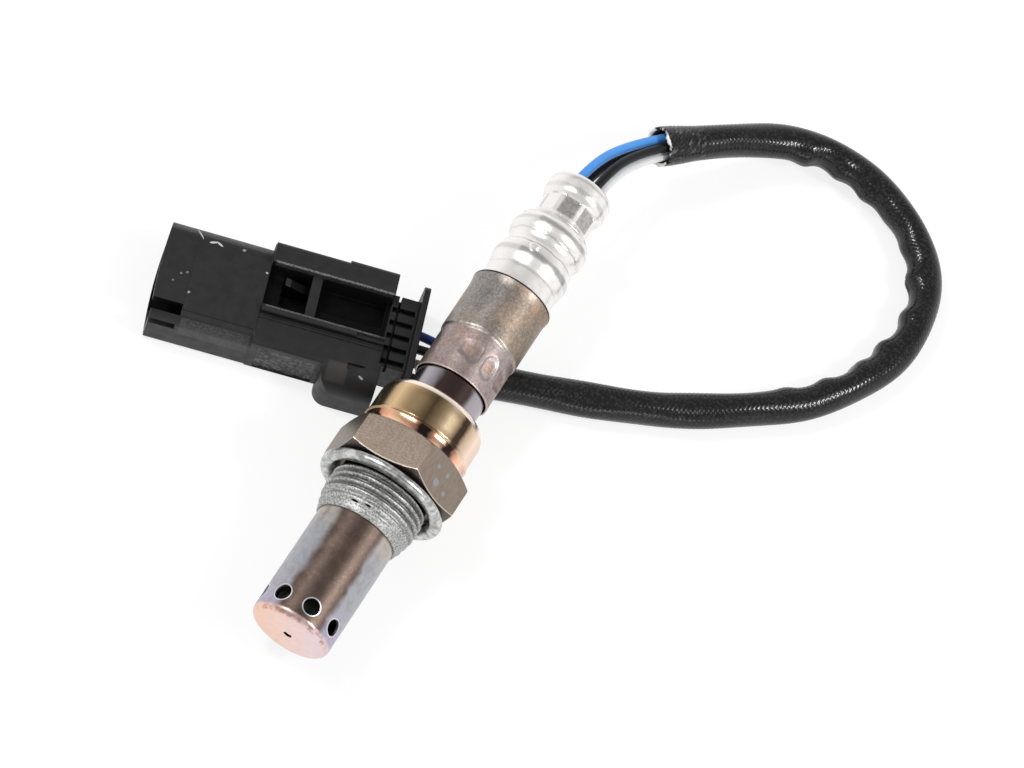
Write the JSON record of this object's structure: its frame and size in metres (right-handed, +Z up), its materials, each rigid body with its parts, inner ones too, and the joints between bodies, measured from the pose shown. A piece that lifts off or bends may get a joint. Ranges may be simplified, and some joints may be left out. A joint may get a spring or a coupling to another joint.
{
  "type": "oxygen sensor",
  "caption": "Screw-in exhaust gas oxygen sensor with a perforated tip, hexagon, crush gasket and crimped casing, on a short braided lead that loops back under it to a latching plug.",
  "frame": {"origin": "on the floor below the middle of the sensor, without its lead and plug", "axes": "+Y runs along the sensor from its perforated tip to its cable end, +Z is up and +X is the side on which the lead loops out"},
  "size_m": [0.1237, 0.1466, 0.0247],
  "materials": {
    "stained_tube": "heat-stained satin steel, straw to violet",
    "shell_steel": "plated steel, heat-stained gold to brown",
    "gasket_steel": "satin zinc-plated sheet steel",
    "inner_steel": "satin steel",
    "element_ceramic": "matt white ceramic",
    "talc": "pressed mineral powder",
    "dark_casing": "dark heat-blued steel",
    "stained_sleeve": "mottled heat-stained steel",
    "filter_sheet": "porous white sheet",
    "bright_cover": "bright satin stainless steel",
    "seal_rubber": "matt black rubber",
    "contact_metal": "tinned bronze",
    "plug_plastic": "satin black moulded plastic",
    "braid": "varnished black glass-fibre braid",
    "blue_insulation": "satin light-blue insulation",
    "black_insulation": "satin black insulation",
    "white_insulation": "satin white insulation"
  },
  "bodies": {
    "root": {"outer_protection_tube": "stained_tube", "threaded_shell": "shell_steel", "crush_gasket": "gasket_steel", "inner_protection_tube": "inner_steel", "sensing_element": "element_ceramic", "packing_washer": "inner_steel", "heater_rod": "element_ceramic", "talc_packing": "talc", "lower_insulator": "element_ceramic", "lower_casing": "dark_casing", "outer_sleeve": "stained_sleeve", "vent_filter": "filter_sheet", "upper_cover": "bright_cover", "upper_insulator": "element_ceramic", "grommet": "seal_rubber", "terminal_contact_1": "contact_metal", "terminal_contact_2": "contact_metal", "terminal_contact_3": "contact_metal", "terminal_contact_4": "contact_metal", "connector_housing": "plug_plastic", "wire_seal": "seal_rubber", "terminal_lock": "plug_plastic", "rear_cover": "plug_plastic", "blade_terminal_1": "contact_metal", "blade_terminal_2": "contact_metal", "blade_terminal_3": "contact_metal", "blade_terminal_4": "contact_metal", "braided_sleeve": "braid", "wire_blue": "blue_insulation", "wire_black_1": "black_insulation", "wire_black_2": "black_insulation", "wire_white": "white_insulation"}
  },
  "joints": []
}
